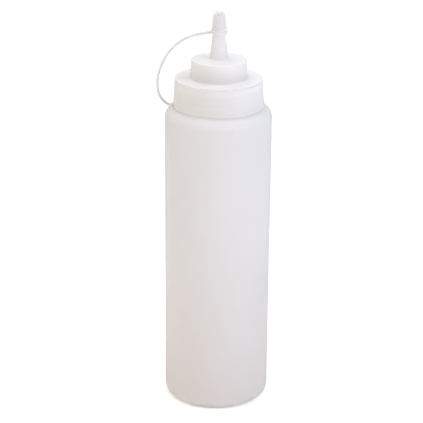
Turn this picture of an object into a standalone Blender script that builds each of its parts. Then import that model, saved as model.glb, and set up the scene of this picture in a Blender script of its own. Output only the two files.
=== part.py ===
"""Condiment squeeze bottle: a blow-moulded bottle, a screw-on spout cap and a tethered tip cap.

Lengths are in metres and +Z is up. The origin is the centre of the flat base, on the bottle's axis.
The tether leaves the tip cap towards -X and comes back to the neck ring in the X-Z plane.
The tip cap, its strap and the neck ring are one moulding on the real object. They are three objects
here, because they move apart: the ring lifts, the strap swings round it and the tip cap pulls off.
"""

import math

import bmesh
import bpy
from mathutils import Matrix, Vector

MM = 0.001
GAP = 0.3 * MM

# Bottle
BODY_R = 35.0 * MM
BASE_CORNER_R = 6.0 * MM
BASE_WALL = 1.6 * MM
WALL = 1.2 * MM
SHOULDER_R = 8.0 * MM
SHOULDER_Z = 204.7 * MM
NECK_R = 25.2 * MM
NECK_WALL = 1.6 * MM
RIM_Z = 221.3 * MM
RIM_ROUND = 0.4 * MM

# Screw thread: one start, right hand, six threads per inch
PITCH = 25.4 / 6 * MM
THREAD_R = 26.5 * MM
THREAD_Z = 210.0 * MM
THREAD_TURNS = 1.9
RIDGE_ROOT_WIDTH = 2.0 * MM
RIDGE_CREST_WIDTH = 0.9 * MM
RIDGE_EMBED = 0.4 * MM
CAP_THREAD_R = 25.7 * MM
CAP_THREAD_BELOW = 1.6 * MM
CAP_THREAD_TURNS = 2.2

# Spout cap
SKIRT_BOTTOM_R = 29.5 * MM
SKIRT_TOP_R = 28.5 * MM
SKIRT_INNER_R = 27.2 * MM
DECK_Z = 223.2 * MM
DECK_EDGE_ROUND = 0.7 * MM
STEP_BASE_R = 18.3 * MM
STEP_TOP_R = 18.0 * MM
STEP_TOP_Z = 235.7 * MM
STEP_EDGE_ROUND = 0.6 * MM
CAP_WALL = 1.6 * MM
NOZZLE_BASE_R = 5.95 * MM
NOZZLE_TIP_R = 2.9 * MM
NOZZLE_TIP_Z = 264.0 * MM
NOZZLE_FILLET = 0.7 * MM
NOZZLE_TIP_ROUND = 0.3 * MM
BORE_BASE_R = 4.5 * MM
BORE_TIP_R = 1.5 * MM

# Tether: neck ring, strap and tip cap
RING_INNER_R = 26.9 * MM
RING_OUTER_R = 29.0 * MM
RING_HEIGHT = 1.5 * MM
RING_EDGE_ROUND = 0.3 * MM
STRAP_THICKNESS = 1.5 * MM
STRAP_WIDTH = 2.4 * MM
STRAP_FOOT_WIDTH = 4.0 * MM
STRAP_FOOT_LENGTH = 5.0 * MM
STRAP_STEPS = 5
TIP_RIM_R = 5.4 * MM
TIP_RIM_Z = 252.8 * MM
TIP_COLLAR_HEIGHT = 1.2 * MM
TIP_CORE_BASE_R = 4.95 * MM
TIP_CORE_TOP_R = 3.5 * MM
TIP_CORE_TOP_Z = 265.5 * MM
TIP_ROOF = 1.1 * MM
TOTAL_HEIGHT = 266.7 * MM
RIB_COUNT = 8
RIB_TURN = math.radians(15)
RIB_WIDTH = 0.9 * MM
RIB_BASE_R = 5.3 * MM
RIB_SHOULDER_R = 3.95 * MM
RIB_SHOULDER_DROP = 2.0 * MM
RIB_TOP_R = 2.8 * MM
RIB_CROWN_INNER_R = 1.9 * MM
RIB_CROWN_ROUND = 0.3 * MM
TIP_CORE_ROUND = 0.4 * MM

SEGMENTS = 64
SMALL_SEGMENTS = 32
THREAD_STEPS = 48
THREAD_FADE_STEPS = 6

RING_Z = SHOULDER_Z + GAP
SKIRT_Z = RING_Z + RING_HEIGHT + GAP
STRAP_FOOT_Z = RING_Z + RING_HEIGHT / 2
STRAP_TIP_Z = TIP_RIM_Z + TIP_COLLAR_HEIGHT / 2

# The strap's middle line, as (x, z) points from the neck ring up to the tip cap
STRAP_ROUTE = (
    (-(RING_OUTER_R + GAP), STRAP_FOOT_Z),
    (-32.4 * MM, 205.2 * MM),
    (-36.4 * MM, 208.1 * MM),
    (-39.1 * MM, 213.4 * MM),
    (-39.6 * MM, 221.3 * MM),
    (-37.8 * MM, 229.0 * MM),
    (-33.4 * MM, 238.1 * MM),
    (-26.5 * MM, 245.7 * MM),
    (-17.5 * MM, 250.8 * MM),
    (-(TIP_RIM_R + GAP), STRAP_TIP_Z),
)


def clear_scene():
    for obj in list(bpy.data.objects):
        bpy.data.objects.remove(obj, do_unlink=True)


def new_collection(name):
    collection = bpy.data.collections.new(name)
    bpy.context.scene.collection.children.link(collection)
    return collection


def plastic(name, color, roughness):
    material = bpy.data.materials.new(name)
    material.use_nodes = True
    shader = material.node_tree.nodes["Principled BSDF"]
    shader.inputs["Base Color"].default_value = (*color, 1.0)
    shader.inputs["Roughness"].default_value = roughness
    shader.inputs["Metallic"].default_value = 0.0
    return material


def mesh_object(name, bm, collection, material=None):
    mesh = bpy.data.meshes.new(name)
    bm.to_mesh(mesh)
    bm.free()
    obj = bpy.data.objects.new(name, mesh)
    collection.objects.link(obj)
    if material:
        mesh.materials.append(material)
    return obj


def arc(centre, radius, start_deg, end_deg, steps):
    """Points of an arc in the (radius, height) plane, 0 degrees outwards and 90 degrees up."""
    points = []
    for i in range(steps + 1):
        angle = math.radians(start_deg + (end_deg - start_deg) * i / steps)
        points.append((centre[0] + radius * math.cos(angle), centre[1] + radius * math.sin(angle)))
    return points


def turned(name, profile, collection, material, segments=SEGMENTS, ring=False):
    """Turn a (radius, height) profile about Z. A ring's profile is closed and clear of the axis."""
    bm = bmesh.new()
    verts = [bm.verts.new((r, 0, z)) for r, z in profile]
    for a, b in zip(verts, verts[1:]):
        bm.edges.new((a, b))
    if ring:
        bm.edges.new((verts[-1], verts[0]))
    obj = mesh_object(name, bm, collection, material)
    screw = obj.modifiers.new("Turn", "SCREW")
    screw.steps = segments
    screw.render_steps = segments
    screw.use_merge_vertices = True
    screw.merge_threshold = 0.00001
    screw.use_smooth_shade = True
    return obj


def swept(name, sections, collection, material=None):
    """Join equal closed sections, one after another, into a solid with flat ends."""
    bm = bmesh.new()
    rows = [[bm.verts.new(point) for point in section] for section in sections]
    count = len(rows[0])
    for row, after in zip(rows, rows[1:]):
        for i in range(count):
            j = (i + 1) % count
            bm.faces.new((row[i], row[j], after[j], after[i]))
    bm.faces.new(reversed(rows[0]))
    bm.faces.new(rows[-1])
    bmesh.ops.recalc_face_normals(bm, faces=bm.faces)
    return mesh_object(name, bm, collection, material)


def unite(obj, other):
    """Join a tool solid to an object, and keep the tool out of the model."""
    other.hide_render = True
    other.display_type = "WIRE"
    boolean = obj.modifiers.new("Join " + other.name, "BOOLEAN")
    boolean.operation = "UNION"
    boolean.solver = "EXACT"
    boolean.object = other


def thread_ridge(name, root_r, crest_r, start_z, turns, collection):
    """A helical ridge from a wall at root_r towards crest_r, which sinks into the wall at its ends."""
    outward = math.copysign(1, crest_r - root_r)
    buried_r = root_r - outward * RIDGE_EMBED
    sunk_r = root_r - outward * RIDGE_EMBED / 2
    steps = round(turns * THREAD_STEPS)
    sections = []
    for i in range(steps + 1):
        angle = 2 * math.pi * i / THREAD_STEPS
        height = start_z + PITCH * i / THREAD_STEPS
        fade = min(1, i / THREAD_FADE_STEPS, (steps - i) / THREAD_FADE_STEPS)
        top_r = sunk_r + (crest_r - sunk_r) * fade
        corners = (
            (buried_r, -RIDGE_ROOT_WIDTH / 2),
            (top_r, -RIDGE_CREST_WIDTH / 2),
            (top_r, RIDGE_CREST_WIDTH / 2),
            (buried_r, RIDGE_ROOT_WIDTH / 2),
        )
        turn = Matrix.Rotation(angle, 3, "Z")
        sections.append([turn @ Vector((r, 0, height + dz)) for r, dz in corners])
    return swept(name, sections, collection)


def bottle_profile():
    """The hollow bottle, from the inside of its base up to the rim and down the outside."""
    base_corner = (BODY_R - BASE_CORNER_R, BASE_CORNER_R)
    shoulder = (BODY_R - SHOULDER_R, SHOULDER_Z - SHOULDER_R)
    bore_r = NECK_R - NECK_WALL
    inside = [(0, BASE_WALL)]
    inside += arc(base_corner, BASE_CORNER_R - WALL, -70, 0, 4)
    inside += arc(shoulder, SHOULDER_R - WALL, 0, 90, 6)
    inside += [(bore_r, SHOULDER_Z - WALL), (bore_r, RIM_Z - RIM_ROUND), (bore_r + RIM_ROUND, RIM_Z)]
    outside = [(NECK_R - RIM_ROUND, RIM_Z), (NECK_R, RIM_Z - RIM_ROUND), (NECK_R, SHOULDER_Z)]
    outside += arc(shoulder, SHOULDER_R, 90, 0, 7)
    outside += arc(base_corner, BASE_CORNER_R, 0, -90, 6)
    outside += [(0, 0)]
    return inside + outside


def make_bottle(parts, tools, material):
    bottle = turned("bottle_body", bottle_profile(), parts, material)
    ridge = thread_ridge("neck_thread", NECK_R, THREAD_R, THREAD_Z, THREAD_TURNS, tools)
    unite(bottle, ridge)
    return bottle


def spout_profile():
    """The spout cap's wall, from the nozzle's tip down the outside and back up the inside."""
    fillet = (NOZZLE_BASE_R + NOZZLE_FILLET, STEP_TOP_Z + NOZZLE_FILLET)
    step_edge = (STEP_TOP_R - STEP_EDGE_ROUND, STEP_TOP_Z - STEP_EDGE_ROUND)
    deck_edge = (SKIRT_TOP_R - DECK_EDGE_ROUND, DECK_Z - DECK_EDGE_ROUND)
    outside = [
        (NOZZLE_TIP_R - NOZZLE_TIP_ROUND, NOZZLE_TIP_Z),
        (NOZZLE_TIP_R, NOZZLE_TIP_Z - NOZZLE_TIP_ROUND),
    ]
    outside += arc(fillet, NOZZLE_FILLET, 180, 270, 2)
    outside += arc(step_edge, STEP_EDGE_ROUND, 90, 0, 3)
    outside += [(STEP_BASE_R, DECK_Z)]
    outside += arc(deck_edge, DECK_EDGE_ROUND, 90, 0, 3)
    outside += [(SKIRT_BOTTOM_R, SKIRT_Z)]
    inside = [
        (SKIRT_INNER_R, SKIRT_Z),
        (SKIRT_INNER_R, DECK_Z - CAP_WALL),
        (STEP_BASE_R - CAP_WALL, DECK_Z - CAP_WALL),
        (STEP_TOP_R - CAP_WALL, STEP_TOP_Z - CAP_WALL),
        (BORE_BASE_R, STEP_TOP_Z - CAP_WALL),
        (BORE_TIP_R, NOZZLE_TIP_Z),
    ]
    return outside + inside


def make_spout_cap(parts, tools, material):
    cap = turned("spout_cap", spout_profile(), parts, material, ring=True)
    start_z = THREAD_Z - CAP_THREAD_BELOW
    ridge = thread_ridge("cap_thread", SKIRT_INNER_R, CAP_THREAD_R, start_z, CAP_THREAD_TURNS, tools)
    unite(cap, ridge)
    return cap


def make_tether_ring(parts, material):
    top = RING_Z + RING_HEIGHT
    e = RING_EDGE_ROUND
    profile = [
        (RING_INNER_R + e, top),
        (RING_OUTER_R - e, top),
        (RING_OUTER_R, top - e),
        (RING_OUTER_R, RING_Z + e),
        (RING_OUTER_R - e, RING_Z),
        (RING_INNER_R + e, RING_Z),
        (RING_INNER_R, RING_Z + e),
        (RING_INNER_R, top - e),
    ]
    return turned("tether_ring", profile, parts, material, ring=True)


def smooth_route(points, steps):
    """Points of a Catmull-Rom curve through the given (x, z) points."""
    knots = [Vector(p) for p in points]
    padded = [2 * knots[0] - knots[1]] + knots + [2 * knots[-1] - knots[-2]]
    route = []
    for a, b, c, d in zip(padded, padded[1:], padded[2:], padded[3:]):
        for i in range(steps):
            t = i / steps
            bend = (2 * a - 5 * b + 4 * c - d) * t**2 + (3 * b - a - 3 * c + d) * t**3
            route.append(b + ((c - a) * t + bend) / 2)
    return route + [knots[-1]]


def make_tether_strap(parts, material):
    """A flat strap on its smooth route, wider at its foot on the neck ring."""
    route = smooth_route(STRAP_ROUTE, STRAP_STEPS)
    sections = []
    for i, point in enumerate(route):
        along = route[min(i + 1, len(route) - 1)] - route[max(i - 1, 0)]
        normal = Vector((-along.y, along.x)).normalized() * STRAP_THICKNESS / 2
        near_foot = max(0, 1 - (point - route[0]).length / STRAP_FOOT_LENGTH)
        half = (STRAP_WIDTH + (STRAP_FOOT_WIDTH - STRAP_WIDTH) * near_foot) / 2
        low = point - normal
        high = point + normal
        corners = ((low, -half), (low, half), (high, half), (high, -half))
        sections.append([(edge.x, y, edge.y) for edge, y in corners])
    return swept("tether_strap", sections, parts, material)


def nozzle_radius(z):
    """The nozzle's outside radius at a height."""
    share = (z - STEP_TOP_Z) / (NOZZLE_TIP_Z - STEP_TOP_Z)
    return NOZZLE_BASE_R + (NOZZLE_TIP_R - NOZZLE_BASE_R) * share


def tip_cap_profile():
    """The tip cap without its ribs, from the middle of its roof down and back up its hollow."""
    collar_z = TIP_RIM_Z + TIP_COLLAR_HEIGHT
    hollow_z = TIP_CORE_TOP_Z - TIP_ROOF
    return [
        (0, TIP_CORE_TOP_Z),
        (TIP_CORE_TOP_R - TIP_CORE_ROUND, TIP_CORE_TOP_Z),
        (TIP_CORE_TOP_R, TIP_CORE_TOP_Z - TIP_CORE_ROUND),
        (TIP_CORE_BASE_R, collar_z + TIP_CORE_ROUND),
        (TIP_RIM_R, collar_z),
        (TIP_RIM_R, TIP_RIM_Z),
        (nozzle_radius(TIP_RIM_Z) + GAP, TIP_RIM_Z),
        (nozzle_radius(hollow_z) + GAP, hollow_z),
        (0, hollow_z),
    ]


def tip_ribs(collection):
    """The ribs round the tip cap, whose upper ends stand above its roof as a crown."""
    foot_z = TIP_RIM_Z + TIP_COLLAR_HEIGHT / 2
    outline = [
        (RIB_BASE_R, foot_z),
        (RIB_SHOULDER_R, TOTAL_HEIGHT - RIB_SHOULDER_DROP),
        (RIB_TOP_R, TOTAL_HEIGHT - RIB_CROWN_ROUND),
        (RIB_TOP_R - RIB_CROWN_ROUND, TOTAL_HEIGHT),
        (RIB_CROWN_INNER_R + RIB_CROWN_ROUND, TOTAL_HEIGHT),
        (RIB_CROWN_INNER_R, TOTAL_HEIGHT - RIB_CROWN_ROUND),
        (RIB_CROWN_INNER_R, TIP_CORE_TOP_Z - TIP_ROOF / 2),
        (TIP_CORE_TOP_R - GAP, TIP_CORE_TOP_Z - TIP_ROOF),
        (TIP_CORE_BASE_R - GAP, foot_z),
    ]
    bm = bmesh.new()
    for i in range(RIB_COUNT):
        turn = Matrix.Rotation(RIB_TURN + 2 * math.pi * i / RIB_COUNT, 3, "Z")
        sides = []
        for y in (-RIB_WIDTH / 2, RIB_WIDTH / 2):
            sides.append([bm.verts.new(turn @ Vector((r, y, z))) for r, z in outline])
        for a in range(len(outline)):
            b = (a + 1) % len(outline)
            bm.faces.new((sides[0][a], sides[0][b], sides[1][b], sides[1][a]))
        bm.faces.new(sides[0])
        bm.faces.new(sides[1])
    bmesh.ops.recalc_face_normals(bm, faces=bm.faces)
    return mesh_object("tip_ribs", bm, collection)


def make_tip_cap(parts, tools, material):
    cap = turned("tip_cap", tip_cap_profile(), parts, material, SMALL_SEGMENTS)
    unite(cap, tip_ribs(tools))
    return cap


def main():
    clear_scene()
    parts = new_collection("condiment_squeeze_bottle")
    tools = new_collection("tools")
    bottle_plastic = plastic("bottle_ldpe", (0.74, 0.72, 0.72), 0.42)
    cap_plastic = plastic("cap_polyethylene", (0.80, 0.78, 0.80), 0.38)
    tether_plastic = plastic("tether_polyethylene", (0.78, 0.76, 0.78), 0.38)
    make_bottle(parts, tools, bottle_plastic)
    make_spout_cap(parts, tools, cap_plastic)
    make_tether_ring(parts, tether_plastic)
    make_tether_strap(parts, tether_plastic)
    make_tip_cap(parts, tools, tether_plastic)


main()
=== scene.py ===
"""The looks of the condiment squeeze bottle: finer meshes for its five CAD nodes, and their plastics.

Lengths are in metres, in the CAD frame: +Z up, the bottle's axis on Z, and its flat base at z = 0.
"""

import math

import bmesh
import bpy
from mathutils import Matrix, Vector


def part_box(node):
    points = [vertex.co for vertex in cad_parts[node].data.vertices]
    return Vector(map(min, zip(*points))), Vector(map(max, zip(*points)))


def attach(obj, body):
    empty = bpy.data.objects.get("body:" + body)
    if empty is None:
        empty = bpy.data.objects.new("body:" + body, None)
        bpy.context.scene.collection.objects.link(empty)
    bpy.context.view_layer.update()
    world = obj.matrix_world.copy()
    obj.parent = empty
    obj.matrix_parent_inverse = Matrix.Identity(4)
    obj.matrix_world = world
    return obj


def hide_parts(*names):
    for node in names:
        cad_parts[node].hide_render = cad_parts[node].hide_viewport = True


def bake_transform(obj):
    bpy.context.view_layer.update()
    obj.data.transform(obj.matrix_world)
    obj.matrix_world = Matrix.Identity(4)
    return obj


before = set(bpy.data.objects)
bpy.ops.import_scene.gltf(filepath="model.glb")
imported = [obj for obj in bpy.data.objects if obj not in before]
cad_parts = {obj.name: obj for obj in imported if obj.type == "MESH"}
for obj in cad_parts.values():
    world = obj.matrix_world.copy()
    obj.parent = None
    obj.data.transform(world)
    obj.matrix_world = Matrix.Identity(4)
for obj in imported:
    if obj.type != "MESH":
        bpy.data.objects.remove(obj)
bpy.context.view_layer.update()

MM = 0.001
TURN = 2 * math.pi

# Places and sizes that the CAD nodes' boxes give
BOTTLE_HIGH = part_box("bottle_body")[1]
SPOUT_LOW, SPOUT_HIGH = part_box("spout_cap")
RING_LOW, RING_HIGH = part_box("tether_ring")
TIP_LOW, TIP_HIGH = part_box("tip_cap")

BODY_R = BOTTLE_HIGH.x
RIM_Z = BOTTLE_HIGH.z
SKIRT_BOTTOM_R = SPOUT_HIGH.x
SKIRT_Z = SPOUT_LOW.z
NOZZLE_TIP_Z = SPOUT_HIGH.z
RING_OUTER_R = RING_HIGH.x
RING_MIDDLE_Z = (RING_LOW.z + RING_HIGH.z) / 2
TIP_RIM_R = TIP_HIGH.x
TIP_RIM_Z = TIP_LOW.z
TOTAL_HEIGHT = TIP_HIGH.z

# Bottle
BASE_CORNER_R = 6.0 * MM
BASE_WALL = 1.6 * MM
INNER_CORNER_DEG = -66
WALL = 1.2 * MM
SHOULDER_R = 8.0 * MM
SHOULDER_Z = 204.7 * MM
NECK_R = 25.2 * MM
NECK_WALL = 1.6 * MM
NECK_FOOT_R = 0.5 * MM
RIM_ROUND = 0.4 * MM

# Screw thread, six turns to the inch, and the rows of faces that draw it
PITCH = 25.4 / 6 * MM
THREAD_PROUD = 1.3 * MM
THREAD_Z = 210.0 * MM
THREAD_TURNS = 1.9
RIDGE_ROOT = 1.0 * MM
RIDGE_CREST = 0.45 * MM
RIDGE_FADE_TURNS = 0.12
CAP_THREAD_PROUD = 1.5 * MM
CAP_THREAD_BELOW = 1.6 * MM
CAP_THREAD_TURNS = 2.2
THREAD_ROW = 0.3 * MM

# Spout cap
SKIRT_TOP_R = 28.5 * MM
SKIRT_INNER_R = 27.2 * MM
SKIRT_FOOT_ROUND = 0.1 * MM
DECK_Z = 223.2 * MM
DECK_EDGE_ROUND = 0.2 * MM
# The moulded line just under the deck's edge, and the sink marks over the thread
RIM_LIP = 0.3 * MM
UNDERCUT_DEPTH = 0.5 * MM
UNDERCUT_HEIGHT = 0.85 * MM
UNDERCUT_RETURN = 0.1 * MM
SINK_DEPTH = 0.05 * MM
# The raised step on the deck, and the nozzle on the step
STEP_BASE_R = 18.3 * MM
STEP_FILLET = 1.0 * MM
STEP_TOP_R = 18.0 * MM
STEP_TOP_Z = 235.7 * MM
STEP_EDGE_ROUND = 0.6 * MM
CAP_WALL = 1.6 * MM
NOZZLE_BASE_R = 5.95 * MM
NOZZLE_FILLET = 0.8 * MM
NOZZLE_TIP_R = 2.9 * MM
NOZZLE_TIP_ROUND = 0.4 * MM
BORE_BASE_R = 4.5 * MM
BORE_TIP_R = 1.5 * MM

# Tip cap: a tapered core with a collar, and eight ribs that stand up past its roof
COLLAR_HEIGHT = 1.2 * MM
CORE_BASE_R = 4.95 * MM
CORE_TOP_R = 3.5 * MM
CORE_TOP_Z = 265.5 * MM
TIP_ROOF = 1.1 * MM
TIP_GAP = 0.3 * MM
RIB_COUNT = 8
RIB_TURN = math.radians(15)
RIB_WIDTH = 0.95 * MM
RIB_BASE_R = 5.3 * MM
RIB_SHOULDER_R = 4.0 * MM
RIB_SHOULDER_DROP = 2.0 * MM
RIB_TOP_R = 2.85 * MM
RIB_CROWN_INNER_R = 1.85 * MM
RIB_CROWN_ROUND = 0.35 * MM
TIP_CORE_ROUND = 0.4 * MM
TIP_VOXEL = 0.11 * MM
TIP_SOFTENING = 0.5
TIP_SOFTEN_ROUNDS = 4

# Tether: the loose ring, and the strap's (x, z) route from the ring to the tip cap
RING_INNER_R = 26.9 * MM
RING_EDGE_ROUND = 0.1 * MM
RING_REST = 0.05 * MM
RING_FLUSH = 0.42 * MM
STRAP_THICKNESS = 1.5 * MM
STRAP_ROUNDNESS = 0.8
STRAP_WIDTH = 2.4 * MM
STRAP_WIDEST = 3.4 * MM
STRAP_WIDEST_AT = 7.0 * MM
STRAP_WIDE_LENGTH = 6.0 * MM
STRAP_FLARE_LENGTH = 3.0 * MM
STRAP_FLARE = 0.45
# The strap's foot inside this radius is painted light, in the paler ring plastic
STRAP_PAINTED_LIGHT_R = 32.5 * MM
STRAP_ROOTED = 0.5 * MM
STRAP_BURIED = 0.1 * MM
STRAP_STEPS = 10
STRAP_ROUTE = (
    (-(RING_OUTER_R + RING_FLUSH - STRAP_BURIED), RING_MIDDLE_Z),
    (-32.4 * MM, 205.2 * MM),
    (-36.4 * MM, 208.1 * MM),
    (-39.09 * MM, 213.4 * MM),
    (-39.59 * MM, 221.3 * MM),
    (-37.8 * MM, 229.0 * MM),
    (-33.4 * MM, 238.1 * MM),
    (-26.5 * MM, 245.7 * MM),
    (-17.5 * MM, 250.8 * MM),
    (-(TIP_RIM_R - STRAP_ROOTED), TIP_RIM_Z + COLLAR_HEIGHT / 2),
)

# Fineness of the meshes
SEGMENTS = 240
SMALL_SEGMENTS = 96
WALL_ROW = 20.0 * MM
SAME_R = 0.01 * MM
SHARP_ANGLE = math.radians(35)

# Plastics
CLOUD_SCALE = 22.0
CLOUD_DETAIL = 3.0
CLOUD_SHADE = 0.975
SKIN_DETAIL = 4.0
SKIN_RELIEF = 0.2 * MM
ROUGHNESS_SPREAD = 0.06
PLASTIC_IOR = 1.3
SPECULAR_LEVEL = 0.1
ABSORBED_COLOR = (0.5, 0.5, 0.5)
# Painted shade: the nozzle's plastic turns darker and cooler upwards from the step
NOZZLE_PAINTED_SHADE = (0.959, 0.969, 0.99)
NOZZLE_PAINTED_SHADE_RISE = 12.0 * MM
# Painted shade: the bottle's plastic turns darker and warmer towards its base
BASE_PAINTED_SHADE = (0.955, 0.93, 0.91)
BASE_PAINTED_SHADE_TOP = 130.0 * MM
BASE_PAINTED_SHADE_FOOT = 15.0 * MM

# Camera, at the photograph's viewing angle
CAMERA_SENSOR = 36
CAMERA_PLACE = (0.0, -0.9584, 0.4975)
CAMERA_PITCH = math.radians(20.95)
CAMERA_HEADING = math.radians(0.243)
CAMERA_ROLL = math.radians(0.439)
CAMERA_LENS = 130.96

# Light, and the floor
WORLD_LEFT = (0.96, 0.84, 0.67)
WORLD_RIGHT = (0.33, 0.34, 0.38)
KEY_PLACE = (0.72, -0.42, 0.6)
KEY_SIZE = 0.45
KEY_POWER = 3.5
KEY_COLOR = (0.82, 0.86, 1.0)
OVERHEAD_SIZE = 2.0
BACK_PLACE = (0.0, 0.5, 1.8)
BACK_POWER = 13.5
BACK_COLOR = (0.75, 0.86, 1.0)
TOP_PLACE = (0.0, -0.5, 1.8)
TOP_POWER = 15.5
TOP_COLOR = (0.99, 0.96, 1.0)
FLOOR_SIZE = 12
FLOOR_COLOR = (0.92, 0.9, 0.87)
FLOOR_ROUGHNESS = 0.9
FLOOR_GLOW = 0.2


# ---------------------------------------------------------------- mesh helpers


def arc(centre, radius, start_deg, end_deg, steps=4):
    """Points of an arc in the (radius, height) plane, with 0 degrees outwards and 90 degrees up."""
    points = []
    for i in range(steps + 1):
        angle = math.radians(start_deg + (end_deg - start_deg) * i / steps)
        points.append((centre[0] + radius * math.cos(angle), centre[1] + radius * math.sin(angle)))
    return points


def column(r_start, z_start, r_end, z_end, step):
    """Points between two ends of a straight wall, no further apart than step, ends left out."""
    count = max(1, math.ceil(abs(z_end - z_start) / step))
    points = []
    for i in range(1, count):
        t = i / count
        points.append((r_start + (r_end - r_start) * t, z_start + (z_end - z_start) * t))
    return points


def finish_mesh(name, bm):
    """An object from a bmesh, shaded smooth with even normals."""
    bmesh.ops.recalc_face_normals(bm, faces=bm.faces)
    mesh = bpy.data.meshes.new(name)
    bm.to_mesh(mesh)
    bm.free()
    obj = bpy.data.objects.new(name, mesh)
    bpy.context.scene.collection.objects.link(obj)
    mesh.shade_smooth()
    mesh.set_sharp_from_angle(angle=SHARP_ANGLE)
    weighted = obj.modifiers.new("Even normals", "WEIGHTED_NORMAL")
    weighted.keep_sharp = True
    return obj


def revolve(name, profile, ring=False, thread=None, segments=SEGMENTS):
    """Turn a (radius, height) profile about Z. A point at radius 0 is a pole.

    thread gives how far a point on the threaded wall stands out, from its (angle, radius, height).
    """
    bm = bmesh.new()
    rows = []
    for r, z in profile:
        if r == 0:
            rows.append([bm.verts.new((0, 0, z))])
            continue
        row = []
        for i in range(segments):
            angle = TURN * i / segments
            radius = r + thread(angle, r, z) if thread else r
            row.append(bm.verts.new((radius * math.cos(angle), radius * math.sin(angle), z)))
        rows.append(row)
    pairs = list(zip(rows, rows[1:]))
    if ring:
        pairs.append((rows[-1], rows[0]))
    for low, high in pairs:
        for i in range(segments):
            j = (i + 1) % segments
            corners = [low[i % len(low)], low[j % len(low)], high[j % len(high)], high[i % len(high)]]
            bm.faces.new(list(dict.fromkeys(corners)))
    return finish_mesh(name, bm)


def ease(t):
    """A smooth step from 0 to 1."""
    return t * t * (3 - 2 * t)


def ridge_height(angle, z, start_z, turns):
    """How far up a one-start right-hand ridge's section a point is, from 0 to 1."""
    best = 0.0
    base = angle / TURN
    for lap in range(math.ceil(turns) + 1):
        along = base + lap
        if along > turns:
            break
        off = abs(z - (start_z + PITCH * along))
        if off >= RIDGE_ROOT:
            continue
        side = min(1, (RIDGE_ROOT - off) / (RIDGE_ROOT - RIDGE_CREST))
        fade = min(1, along / RIDGE_FADE_TURNS, (turns - along) / RIDGE_FADE_TURNS)
        best = max(best, ease(side) * ease(fade))
    return best


def swept(name, sections):
    """Join equal closed sections, one after another, into a solid with flat ends."""
    bm = bmesh.new()
    rows = [[bm.verts.new(point) for point in section] for section in sections]
    count = len(rows[0])
    for row, after in zip(rows, rows[1:]):
        for i in range(count):
            j = (i + 1) % count
            bm.faces.new((row[i], row[j], after[j], after[i]))
    bm.faces.new(rows[0])
    bm.faces.new(rows[-1])
    return finish_mesh(name, bm)


# ---------------------------------------------------------------- pieces


def neck_thread(angle, r, z):
    """The bottle's thread, on the outside of the neck only."""
    if abs(r - NECK_R) > SAME_R or z < SHOULDER_Z:
        return 0.0
    return THREAD_PROUD * ridge_height(angle, z, THREAD_Z, THREAD_TURNS)


def cap_thread(angle, r, z):
    """The spout cap's thread inside the skirt, and the faint sink marks that it leaves outside."""
    start_z = THREAD_Z - CAP_THREAD_BELOW
    if abs(r - SKIRT_INNER_R) < SAME_R:
        return -CAP_THREAD_PROUD * ridge_height(angle, z, start_z, CAP_THREAD_TURNS)
    if SKIRT_Z < z < DECK_Z and abs(r - skirt_radius(z)) < SAME_R:
        return -SINK_DEPTH * ridge_height(angle, z, start_z, CAP_THREAD_TURNS)
    return 0.0


def make_bottle():
    """The blow-moulded bottle: its inside from the base up, then its outside back down."""
    base_corner = (BODY_R - BASE_CORNER_R, BASE_CORNER_R)
    shoulder = (BODY_R - SHOULDER_R, SHOULDER_Z - SHOULDER_R)
    bore_r = NECK_R - NECK_WALL
    rim_inner = (bore_r + RIM_ROUND, RIM_Z - RIM_ROUND)
    rim_outer = (NECK_R - RIM_ROUND, RIM_Z - RIM_ROUND)
    neck_foot = (NECK_R + NECK_FOOT_R, SHOULDER_Z + NECK_FOOT_R)
    inside = [(0, BASE_WALL), (BODY_R / 2, BASE_WALL)]
    inside += arc(base_corner, BASE_CORNER_R - WALL, INNER_CORNER_DEG, 0, 8)
    inside += column(BODY_R - WALL, BASE_CORNER_R, BODY_R - WALL, shoulder[1], WALL_ROW)
    inside += arc(shoulder, SHOULDER_R - WALL, 0, 90, 12)
    inside += [(bore_r, SHOULDER_Z - WALL)]
    inside += arc(rim_inner, RIM_ROUND, 180, 90)
    outside = arc(rim_outer, RIM_ROUND, 90, 0)
    outside += column(NECK_R, rim_outer[1], NECK_R, neck_foot[1], THREAD_ROW)
    outside += arc(neck_foot, NECK_FOOT_R, 180, 270)
    outside += arc(shoulder, SHOULDER_R, 90, 0, 16)
    outside += column(BODY_R, shoulder[1], BODY_R, BASE_CORNER_R, WALL_ROW)
    outside += arc(base_corner, BASE_CORNER_R, 0, -90, 12)
    outside += [(BODY_R / 2, 0), (0, 0)]
    return revolve("bottle_moulding", inside + outside, thread=neck_thread)


def skirt_radius(z):
    """The skirt's outside radius at a height."""
    return SKIRT_BOTTOM_R + (SKIRT_TOP_R - SKIRT_BOTTOM_R) * (z - SKIRT_Z) / (DECK_Z - SKIRT_Z)


def nozzle_radius(z):
    """The nozzle's outside radius at a height."""
    share = (z - STEP_TOP_Z) / (NOZZLE_TIP_Z - STEP_TOP_Z)
    return NOZZLE_BASE_R + (NOZZLE_TIP_R - NOZZLE_BASE_R) * share


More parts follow.
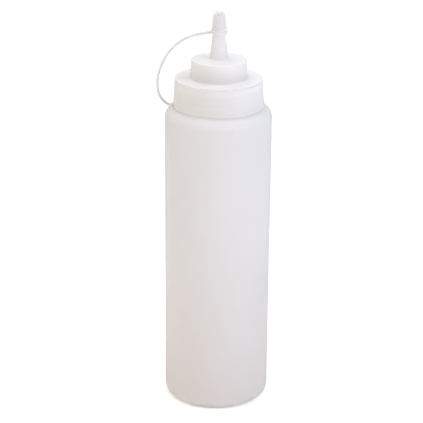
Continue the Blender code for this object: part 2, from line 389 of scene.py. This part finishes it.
def make_spout():
    """The spout cap: its outside from the nozzle's tip down, then its inside back up."""
    nozzle_tip = (NOZZLE_TIP_R - NOZZLE_TIP_ROUND, NOZZLE_TIP_Z - NOZZLE_TIP_ROUND)
    nozzle_foot = (NOZZLE_BASE_R + NOZZLE_FILLET, STEP_TOP_Z + NOZZLE_FILLET)
    step_edge = (STEP_TOP_R - STEP_EDGE_ROUND, STEP_TOP_Z - STEP_EDGE_ROUND)
    step_foot = (STEP_BASE_R + STEP_FILLET, DECK_Z + STEP_FILLET)
    deck_edge = (SKIRT_TOP_R - DECK_EDGE_ROUND, DECK_Z - DECK_EDGE_ROUND)
    lip_z = DECK_Z - RIM_LIP
    undercut_z = lip_z - UNDERCUT_HEIGHT
    wall_z = undercut_z - UNDERCUT_RETURN
    skirt_foot = (SKIRT_BOTTOM_R - SKIRT_FOOT_ROUND, SKIRT_Z + SKIRT_FOOT_ROUND)
    outside = arc(nozzle_tip, NOZZLE_TIP_ROUND, 90, 0)
    outside += arc(nozzle_foot, NOZZLE_FILLET, 180, 270, 5)
    outside += arc(step_edge, STEP_EDGE_ROUND, 90, 0, 5)
    outside += arc(step_foot, STEP_FILLET, 180, 270)
    outside += arc(deck_edge, DECK_EDGE_ROUND, 90, 0, 5)
    outside += [
        (skirt_radius(lip_z), lip_z),
        (skirt_radius(undercut_z) - UNDERCUT_DEPTH, undercut_z),
        (skirt_radius(wall_z), wall_z),
    ]
    outside += column(skirt_radius(wall_z), wall_z, SKIRT_BOTTOM_R, skirt_foot[1], THREAD_ROW)
    outside += arc(skirt_foot, SKIRT_FOOT_ROUND, 0, -90)
    deck_inside = DECK_Z - CAP_WALL
    step_inside = STEP_TOP_Z - CAP_WALL
    inside = [(SKIRT_INNER_R, SKIRT_Z)]
    inside += column(SKIRT_INNER_R, SKIRT_Z, SKIRT_INNER_R, deck_inside, THREAD_ROW)
    inside += [
        (SKIRT_INNER_R, deck_inside),
        (STEP_BASE_R - CAP_WALL, deck_inside),
        (STEP_TOP_R - CAP_WALL, step_inside),
        (BORE_BASE_R, step_inside),
        (BORE_TIP_R, NOZZLE_TIP_Z),
    ]
    return revolve("spout_moulding", outside + inside, ring=True, thread=cap_thread)


def make_ring():
    """The loose ring, which rests on the shoulder and fills the room below the skirt."""
    top = SKIRT_Z - RING_REST
    outer = RING_OUTER_R + RING_FLUSH
    rest_z = SHOULDER_Z + RING_REST
    drop = SHOULDER_R - math.sqrt(SHOULDER_R**2 - (outer - (BODY_R - SHOULDER_R)) ** 2)
    outer_edge = (outer - RING_EDGE_ROUND, top - RING_EDGE_ROUND)
    inner_edge = (RING_INNER_R + RING_EDGE_ROUND, top - RING_EDGE_ROUND)
    profile = arc(outer_edge, RING_EDGE_ROUND, 90, 0)
    profile += [(outer, rest_z - drop), (BODY_R - SHOULDER_R, rest_z), (RING_INNER_R, rest_z)]
    profile += arc(inner_edge, RING_EDGE_ROUND, 180, 90)
    return revolve("neck_ring", profile, ring=True)


def smooth_route(points, steps):
    """Points of a Catmull-Rom curve through the given (x, z) points."""
    knots = [Vector(p) for p in points]
    padded = [2 * knots[0] - knots[1]] + knots + [2 * knots[-1] - knots[-2]]
    route = []
    for a, b, c, d in zip(padded, padded[1:], padded[2:], padded[3:]):
        for i in range(steps):
            t = i / steps
            bend = (2 * a - 5 * b + 4 * c - d) * t**2 + (3 * b - a - 3 * c + d) * t**3
            route.append(b + ((c - a) * t + bend) / 2)
    return route + [knots[-1]]


def rounded_section(width, thickness, steps=4):
    """Points round a flat bar's section with well rounded edges, as (across, up)."""
    r = thickness / 2 * STRAP_ROUNDNESS
    x = width / 2 - r
    z = thickness / 2 - r
    points = []
    for cx, cz, start in ((x, z, 90), (x, -z, 0), (-x, -z, -90), (-x, z, -180)):
        for i in range(steps + 1):
            angle = math.radians(start - 90 * i / steps)
            points.append((cx + r * math.cos(angle), cz + r * math.sin(angle)))
    return points


def make_strap():
    """The flat strap on its smooth route: widest near the ring, and thicker at the tip cap.

    The faces nearest the ring take the piece's second material, the ring's paler plastic: the rest of the
    strap is painted shade, and the paler foot is painted light against the shade in the crevice under the
    skirt.
    """
    route = smooth_route(STRAP_ROUTE, STRAP_STEPS)
    sections = []
    for i, point in enumerate(route):
        along = route[min(i + 1, len(route) - 1)] - route[max(i - 1, 0)]
        normal = Vector((-along.y, along.x)).normalized()
        from_widest = abs((point - route[0]).length - STRAP_WIDEST_AT)
        wide = max(0, 1 - from_widest / STRAP_WIDE_LENGTH)
        near_tip = max(0, 1 - (point - route[-1]).length / STRAP_FLARE_LENGTH)
        width = STRAP_WIDTH + (STRAP_WIDEST - STRAP_WIDTH) * ease(wide)
        thickness = STRAP_THICKNESS * (1 + STRAP_FLARE * near_tip**2)
        section = []
        for across, up in rounded_section(width, thickness):
            place = point + normal * up
            section.append((place.x, across, place.y))
        sections.append(section)
    strap = swept("tether_band", sections)
    # Painted light: the strap's foot, in the crevice under the skirt, takes the paler ring plastic to
    # lighten the shade there
    for face in strap.data.polygons:
        if face.center.x > -STRAP_PAINTED_LIGHT_R and face.center.z < DECK_Z:
            face.material_index = 1
    return strap


def tip_core_profile():
    """The tip cap without its ribs, from the middle of its roof down and back up its hollow."""
    collar_z = TIP_RIM_Z + COLLAR_HEIGHT
    hollow_z = CORE_TOP_Z - TIP_ROOF
    return [
        (0, CORE_TOP_Z),
        (CORE_TOP_R - TIP_CORE_ROUND, CORE_TOP_Z),
        (CORE_TOP_R, CORE_TOP_Z - TIP_CORE_ROUND),
        (CORE_BASE_R, collar_z + TIP_CORE_ROUND),
        (TIP_RIM_R, collar_z),
        (TIP_RIM_R, TIP_RIM_Z),
        (nozzle_radius(TIP_RIM_Z) + TIP_GAP, TIP_RIM_Z),
        (nozzle_radius(hollow_z) + TIP_GAP, hollow_z),
        (0, hollow_z),
    ]


def rib_outline():
    """One rib's outline as (radius, height), whose upper end stands above the roof."""
    foot_z = TIP_RIM_Z + COLLAR_HEIGHT / 2
    crown_z = TOTAL_HEIGHT - RIB_CROWN_ROUND
    outline = [(RIB_BASE_R, foot_z), (RIB_SHOULDER_R, TOTAL_HEIGHT - RIB_SHOULDER_DROP)]
    outline += arc((RIB_TOP_R - RIB_CROWN_ROUND, crown_z), RIB_CROWN_ROUND, 30, 90)
    outline += arc((RIB_CROWN_INNER_R + RIB_CROWN_ROUND, crown_z), RIB_CROWN_ROUND, 90, 180, 5)
    outline += [
        (RIB_CROWN_INNER_R, CORE_TOP_Z - TIP_ROOF / 2),
        (CORE_TOP_R - TIP_GAP, CORE_TOP_Z - TIP_ROOF),
        (CORE_BASE_R - TIP_GAP, foot_z),
    ]
    return outline


def make_tip():
    """The ribbed tip cap: a core and its ribs, fused and softened as one moulding."""
    core = revolve("tip_moulding", tip_core_profile(), segments=SMALL_SEGMENTS)
    core.modifiers.clear()
    outline = rib_outline()
    bm = bmesh.new()
    bm.from_mesh(core.data)
    for k in range(RIB_COUNT):
        turn = Matrix.Rotation(RIB_TURN + TURN * k / RIB_COUNT, 3, "Z")
        sides = []
        for y in (-RIB_WIDTH / 2, RIB_WIDTH / 2):
            sides.append([bm.verts.new(turn @ Vector((r, y, z))) for r, z in outline])
        faces = [bm.faces.new(sides[0]), bm.faces.new(sides[1])]
        near, far = sides
        for a in range(len(outline)):
            b = (a + 1) % len(outline)
            faces.append(bm.faces.new((near[a], near[b], far[b], far[a])))
        bmesh.ops.recalc_face_normals(bm, faces=faces)
    bm.to_mesh(core.data)
    bm.free()
    remesh = core.modifiers.new("Fuse", "REMESH")
    remesh.mode = "VOXEL"
    remesh.voxel_size = TIP_VOXEL
    soften = core.modifiers.new("Soften", "SMOOTH")
    soften.factor = TIP_SOFTENING
    soften.iterations = TIP_SOFTEN_ROUNDS
    graph = bpy.context.evaluated_depsgraph_get()
    fused = bpy.data.meshes.new_from_object(core.evaluated_get(graph))
    core.modifiers.clear()
    core.data = fused
    fused.shade_smooth()
    return core


# ---------------------------------------------------------------- plastics


def noise(material, scale, detail):
    """Noise in the object's own space."""
    nodes = material.node_tree.nodes
    place = nodes.new("ShaderNodeTexCoord")
    texture = nodes.new("ShaderNodeTexNoise")
    texture.inputs["Scale"].default_value = scale
    texture.inputs["Detail"].default_value = detail
    material.node_tree.links.new(place.outputs["Object"], texture.inputs["Vector"])
    return texture.outputs["Fac"]


def translucent_plastic(
    name, color, absorption, clear=0.0, through=0.4, roughness=0.5, grain=1200, relief=0.08
):
    """Natural polyethylene: milky and frosted, clouded by its flow, with a fine satin skin.

    absorption is how much light each metre of plastic takes, clear the share of light that passes
    unbent, and through the share that passes as a glow. grain is how fine the skin's relief is, and
    relief how strong.
    """
    material = bpy.data.materials.new(name)
    material.use_nodes = True
    nodes = material.node_tree.nodes
    links = material.node_tree.links
    shader = nodes["Principled BSDF"]
    cloud = nodes.new("ShaderNodeMix")
    cloud.data_type = "RGBA"
    cloud.inputs["A"].default_value = (*[c * CLOUD_SHADE for c in color], 1)
    cloud.inputs["B"].default_value = (*color, 1)
    links.new(noise(material, CLOUD_SCALE, CLOUD_DETAIL), cloud.inputs["Factor"])
    links.new(cloud.outputs["Result"], shader.inputs["Base Color"])
    skin = noise(material, grain, SKIN_DETAIL)
    satin = nodes.new("ShaderNodeMapRange")
    satin.inputs["To Min"].default_value = roughness - ROUGHNESS_SPREAD
    satin.inputs["To Max"].default_value = roughness + ROUGHNESS_SPREAD
    links.new(skin, satin.inputs["Value"])
    links.new(satin.outputs["Result"], shader.inputs["Roughness"])
    bump = nodes.new("ShaderNodeBump")
    bump.inputs["Strength"].default_value = relief
    bump.inputs["Distance"].default_value = SKIN_RELIEF
    links.new(skin, bump.inputs["Height"])
    links.new(bump.outputs["Normal"], shader.inputs["Normal"])
    shader.inputs["IOR"].default_value = PLASTIC_IOR
    shader.inputs["Specular IOR Level"].default_value = SPECULAR_LEVEL
    shader.inputs["Transmission Weight"].default_value = through
    shader.inputs["Alpha"].default_value = 1 - clear
    depth = nodes.new("ShaderNodeVolumeAbsorption")
    depth.inputs["Color"].default_value = (*ABSORBED_COLOR, 1)
    depth.inputs["Density"].default_value = absorption
    links.new(depth.outputs["Volume"], nodes["Material Output"].inputs["Volume"])
    return material


def paint_shade_by_height(material, shade, start_z, end_z):
    """Paint shade into a plastic's colour: multiply it by a shade, not at all at start_z and wholly at
    end_z and beyond.
    """
    nodes = material.node_tree.nodes
    links = material.node_tree.links
    base = nodes["Principled BSDF"].inputs["Base Color"]
    place = nodes.new("ShaderNodeTexCoord")
    split = nodes.new("ShaderNodeSeparateXYZ")
    links.new(place.outputs["Object"], split.inputs["Vector"])
    painted_shade_amount = nodes.new("ShaderNodeMapRange")
    painted_shade_amount.inputs["From Min"].default_value = start_z
    painted_shade_amount.inputs["From Max"].default_value = end_z
    links.new(split.outputs["Z"], painted_shade_amount.inputs["Value"])
    painted_shade_mix = nodes.new("ShaderNodeMix")
    painted_shade_mix.data_type = "RGBA"
    painted_shade_mix.blend_type = "MULTIPLY"
    links.new(base.links[0].from_socket, painted_shade_mix.inputs["A"])
    painted_shade_mix.inputs["B"].default_value = (*shade, 1)
    links.new(painted_shade_amount.outputs["Result"], painted_shade_mix.inputs["Factor"])
    links.new(painted_shade_mix.outputs["Result"], base)


# ---------------------------------------------------------------- assembly, floor, light, camera


def put(obj, node, body, material):
    """Give a piece its plastic, and let it stand for its CAD node. With no body, it is left unattached."""
    obj.data.materials.append(material)
    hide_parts(node)
    if body:
        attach(obj, body)
    return obj


def make_pieces():
    """The five pieces, each in its plastic, and all but the strap on its body."""
    bottle_plastic = translucent_plastic(
        "bottle_ldpe", (0.895, 0.9, 0.925), absorption=40,
        through=0.5, roughness=0.6, grain=900, relief=0.15,
    )
    cap_plastic = translucent_plastic("cap_polyethylene", (0.975, 0.975, 0.99), absorption=30, clear=0.18)
    tip_plastic = translucent_plastic("tip_polyethylene", (0.965, 0.965, 0.985), absorption=150, clear=0.42)
    # Painted shade: the strap's plastic is a darker copy of the ring's and tip's, which are one moulding
    # with it
    strap_painted_shade_plastic = translucent_plastic("tether_polyethylene", (0.77, 0.78, 0.805), absorption=60)
    ring_plastic = translucent_plastic("ring_polyethylene", (0.97, 0.97, 0.985), absorption=5)
    # Painted shade: the bottle darker and warmer towards its base
    paint_shade_by_height(bottle_plastic, BASE_PAINTED_SHADE, BASE_PAINTED_SHADE_TOP, BASE_PAINTED_SHADE_FOOT)
    # Painted shade: the nozzle darker and cooler upwards
    paint_shade_by_height(cap_plastic, NOZZLE_PAINTED_SHADE, STEP_TOP_Z, STEP_TOP_Z + NOZZLE_PAINTED_SHADE_RISE)
    put(make_bottle(), "bottle_body", "bottle", bottle_plastic)
    put(make_spout(), "spout_cap", "spout", cap_plastic)
    put(make_ring(), "tether_ring", "ring", ring_plastic)
    put(make_tip(), "tip_cap", "tip", tip_plastic)
    strap = put(make_strap(), "tether_strap", None, strap_painted_shade_plastic)
    # The paler ring plastic, painted light on the strap's foot
    strap.data.materials.append(ring_plastic)
    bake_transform(strap)


def make_floor():
    """The plain pale floor."""
    bpy.ops.mesh.primitive_plane_add(size=FLOOR_SIZE, location=(0, 0, 0))
    floor = bpy.context.object
    floor.name = "floor"
    material = bpy.data.materials.new("floor_white")
    material.use_nodes = True
    shader = material.node_tree.nodes["Principled BSDF"]
    shader.inputs["Base Color"].default_value = (*FLOOR_COLOR, 1)
    shader.inputs["Roughness"].default_value = FLOOR_ROUGHNESS
    shader.inputs["Specular IOR Level"].default_value = 0.0
    shader.inputs["Emission Color"].default_value = (1, 1, 1, 1)
    shader.inputs["Emission Strength"].default_value = FLOOR_GLOW
    floor.data.materials.append(material)


def area_light(name, place, size, power, color):
    """A square soft light that looks at the bottle's shoulder."""
    data = bpy.data.lights.new(name, "AREA")
    data.shape = "SQUARE"
    data.size = size
    data.energy = power
    data.color = color
    light = bpy.data.objects.new(name, data)
    bpy.context.scene.collection.objects.link(light)
    light.location = place
    shoulder = Vector((0, 0, SHOULDER_Z))
    light.rotation_euler = (shoulder - Vector(place)).to_track_quat("-Z", "Y").to_euler()


def make_light():
    """Soft studio light: a room that is warm on its left and dim on its right, and three soft boxes."""
    world = bpy.data.worlds.new("studio")
    bpy.context.scene.world = world
    world.use_nodes = True
    nodes = world.node_tree.nodes
    links = world.node_tree.links
    way = nodes.new("ShaderNodeTexCoord")
    split = nodes.new("ShaderNodeSeparateXYZ")
    links.new(way.outputs["Generated"], split.inputs["Vector"])
    side = nodes.new("ShaderNodeMapRange")
    side.interpolation_type = "SMOOTHSTEP"
    side.inputs["From Min"].default_value = -1.0
    side.inputs["From Max"].default_value = 1.0
    links.new(split.outputs["X"], side.inputs["Value"])
    wall = nodes.new("ShaderNodeMix")
    wall.data_type = "RGBA"
    wall.inputs["A"].default_value = (*WORLD_LEFT, 1)
    wall.inputs["B"].default_value = (*WORLD_RIGHT, 1)
    links.new(side.outputs["Result"], wall.inputs["Factor"])
    links.new(wall.outputs["Result"], nodes["Background"].inputs["Color"])
    area_light("key", KEY_PLACE, KEY_SIZE, KEY_POWER, KEY_COLOR)
    area_light("back", BACK_PLACE, OVERHEAD_SIZE, BACK_POWER, BACK_COLOR)
    area_light("top", TOP_PLACE, OVERHEAD_SIZE, TOP_POWER, TOP_COLOR)


def make_camera():
    """The camera, in front and above, looking down on the bottle."""
    data = bpy.data.cameras.new("camera")
    data.sensor_width = CAMERA_SENSOR
    data.lens = CAMERA_LENS
    camera = bpy.data.objects.new("camera", data)
    bpy.context.scene.collection.objects.link(camera)
    heading = Matrix.Rotation(CAMERA_HEADING, 4, "Z")
    pitch = Matrix.Rotation(math.pi / 2 - CAMERA_PITCH, 4, "X")
    roll = Matrix.Rotation(CAMERA_ROLL, 4, "Z")
    camera.matrix_world = Matrix.Translation(CAMERA_PLACE) @ heading @ pitch @ roll
    bpy.context.scene.camera = camera


make_pieces()
make_floor()
make_light()
make_camera()
bpy.context.scene.view_settings.view_transform = "Standard"
